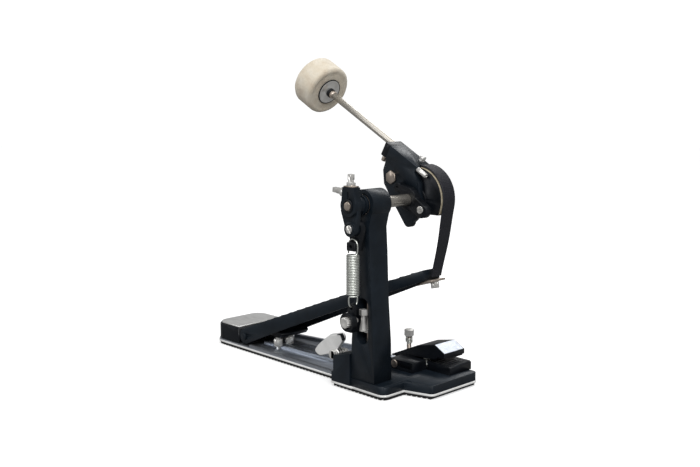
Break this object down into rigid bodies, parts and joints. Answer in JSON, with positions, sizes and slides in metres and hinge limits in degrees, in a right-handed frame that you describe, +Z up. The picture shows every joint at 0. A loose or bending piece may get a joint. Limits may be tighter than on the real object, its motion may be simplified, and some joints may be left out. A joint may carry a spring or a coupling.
{
  "type": "bass drum pedal",
  "caption": "Single-post bass drum pedal: a strap from the footboard turns a cam and shaft that swing a felt beater, with a return spring and a drum hoop clamp.",
  "frame": {"origin": "on the floor, straight below the shaft, in the plane that the beater swings in", "axes": "+X along the shaft towards the post, +Y towards the drum, +Z up"},
  "size_m": [0.1545, 0.3654, 0.3754],
  "materials": {
    "navy_metal": "satin",
    "black_metal": "satin",
    "rail_aluminium": "anodised satin",
    "edge_trim": "bright",
    "heel_top": "satin",
    "pad_rubber": "matte",
    "chrome_parts": "polished",
    "plain_steel": "brushed",
    "nickel_rod": "polished",
    "spring_steel": "zinc plated",
    "woven_strap": "woven",
    "strap_liner": "matte",
    "felt": "felted"
  },
  "bodies": {
    "root": {"base_rail": "rail_aluminium", "rail_trim": "edge_trim", "rail_pad": "pad_rubber", "base_casting": "navy_metal", "casting_trim": "edge_trim", "casting_pad": "pad_rubber", "front_block": "navy_metal", "heel_block": "black_metal", "heel_plate": "heel_top", "heel_bracket": "black_metal", "rail_bolts": "chrome_parts", "hinge_pin": "plain_steel", "lock_screw": "chrome_parts", "post": "navy_metal", "bearings": "plain_steel", "tension_screw": "plain_steel", "adjuster_yoke": "black_metal", "clamp_housing": "black_metal", "clamp_pin": "plain_steel", "hoop_seat": "black_metal", "jaw_spring": "plain_steel"},
    "footboard": {"footboard": "navy_metal", "board_skirts": "navy_metal", "toe_clamp": "plain_steel", "toe_nut": "chrome_parts"},
    "shaft": {"axle": "nickel_rod", "axle_cap": "plain_steel", "cam": "black_metal", "strap_liner": "strap_liner", "strap_wrap": "woven_strap", "cam_clamp": "black_metal", "clamp_screw": "chrome_parts", "beater_holder": "navy_metal", "holder_collar": "black_metal", "holder_bolt": "plain_steel", "rod_screw": "chrome_parts", "strap_screw": "chrome_parts", "rocker": "navy_metal", "rocker_plate": "plain_steel", "rocker_screw": "chrome_parts", "rocker_key": "chrome_parts", "hanger_pin": "chrome_parts"},
    "strap_a": {"strap_1": "woven_strap"},
    "strap_b": {"strap_2": "woven_strap"},
    "strap_c": {"strap_3": "woven_strap"},
    "strap_d": {"strap_free": "woven_strap"},
    "beater": {"beater_rod": "nickel_rod", "beater_neck": "plain_steel", "beater_washer": "chrome_parts", "beater_ring": "pad_rubber", "beater_felt": "felt"},
    "hanger": {"hanger": "black_metal"},
    "spring": {"spring": "spring_steel"},
    "tension_wheel": {"tension_wheel": "chrome_parts"},
    "adjuster_knob": {"adjuster_knob": "chrome_parts"},
    "lock_lever": {"lock_lever": "chrome_parts"},
    "jaw": {"clamp_jaw": "black_metal", "jaw_pad": "pad_rubber"},
    "thumbscrew": {"thumbscrew": "chrome_parts", "thumb_spring": "plain_steel"}
  },
  "joints": [
    {"name": "footboard_hinge", "type": "hinge", "parent": "root", "child": "footboard", "pos_m": [0.044, -0.2346, 0.019], "axis": [-1, 0, 0], "range_deg": [0, 9], "stiffness_Nm_per_rad": 6, "springref_deg": -20.05},
    {"name": "shaft_turn", "type": "hinge", "parent": "root", "child": "shaft", "pos_m": [0, 0, 0.212], "axis": [-1, 0, 0], "range_deg": [0, 60]},
    {"name": "strap_bend_1", "type": "hinge", "parent": "shaft", "child": "strap_a", "pos_m": [0, 0.02508, 0.24021], "axis": [-1, 0, 0], "range_deg": [-22, 0]},
    {"name": "strap_bend_2", "type": "hinge", "parent": "strap_a", "child": "strap_b", "pos_m": [0, 0.03322, 0.22993], "axis": [-1, 0, 0], "range_deg": [-22, 0]},
    {"name": "strap_bend_3", "type": "hinge", "parent": "strap_b", "child": "strap_c", "pos_m": [0, 0.03735, 0.21749], "axis": [-1, 0, 0], "range_deg": [-22, 0]},
    {"name": "strap_bend_4", "type": "hinge", "parent": "strap_c", "child": "strap_d", "pos_m": [0, 0.03697, 0.20438], "axis": [-1, 0, 0], "range_deg": [-22, 0]},
    {"name": "hanger_swing", "type": "hinge", "parent": "shaft", "child": "hanger", "pos_m": [0.107, 0, 0.187], "axis": [-1, 0, 0], "range_deg": [-73, 0]},
    {"name": "spring_stretch", "type": "slide", "parent": "hanger", "child": "spring", "axis": [0, 0, -1], "range_m": [0, 0.0152], "deforming": ["spring"]},
    {"name": "beater_height", "type": "slide", "parent": "shaft", "child": "beater", "axis": [0, -0.8746, 0.4848], "range_m": [0, 0.03]},
    {"name": "tension_turn", "type": "hinge", "parent": "root", "child": "tension_wheel", "pos_m": [0.0885, 0, 0.081], "axis": [0, 0, 1], "continuous": true},
    {"name": "adjuster_turn", "type": "hinge", "parent": "root", "child": "adjuster_knob", "pos_m": [0.115, -0.004, 0.085], "axis": [1, 0, 0], "continuous": true},
    {"name": "lock_turn", "type": "hinge", "parent": "root", "child": "lock_lever", "pos_m": [0.0835, -0.056, 0.033], "axis": [-1, 0, 0], "range_deg": [0, 30]},
    {"name": "jaw_open", "type": "hinge", "parent": "root", "child": "jaw", "pos_m": [-0.0045, -0.008, 0.022], "axis": [1, 0, 0], "range_deg": [0, 7]},
    {"name": "thumbscrew_turn", "type": "hinge", "parent": "root", "child": "thumbscrew", "pos_m": [-0.005, -0.025, 0.045], "axis": [0, 0, 1], "continuous": true}
  ],
  "couplings": [
    {"joint": "shaft_turn", "follows": "footboard_hinge", "ratio": 6.6457},
    {"joint": "strap_bend_1", "follows": "footboard_hinge", "ratio": -2.3769},
    {"joint": "strap_bend_2", "follows": "footboard_hinge", "ratio": -2.1244},
    {"joint": "strap_bend_3", "follows": "footboard_hinge", "ratio": -1.8354},
    {"joint": "strap_bend_4", "follows": "footboard_hinge", "ratio": -1.3945},
    {"joint": "hanger_swing", "follows": "footboard_hinge", "ratio": -8.0605},
    {"joint": "spring_stretch", "follows": "footboard_hinge", "m_per_rad": 0.09471}
  ]
}
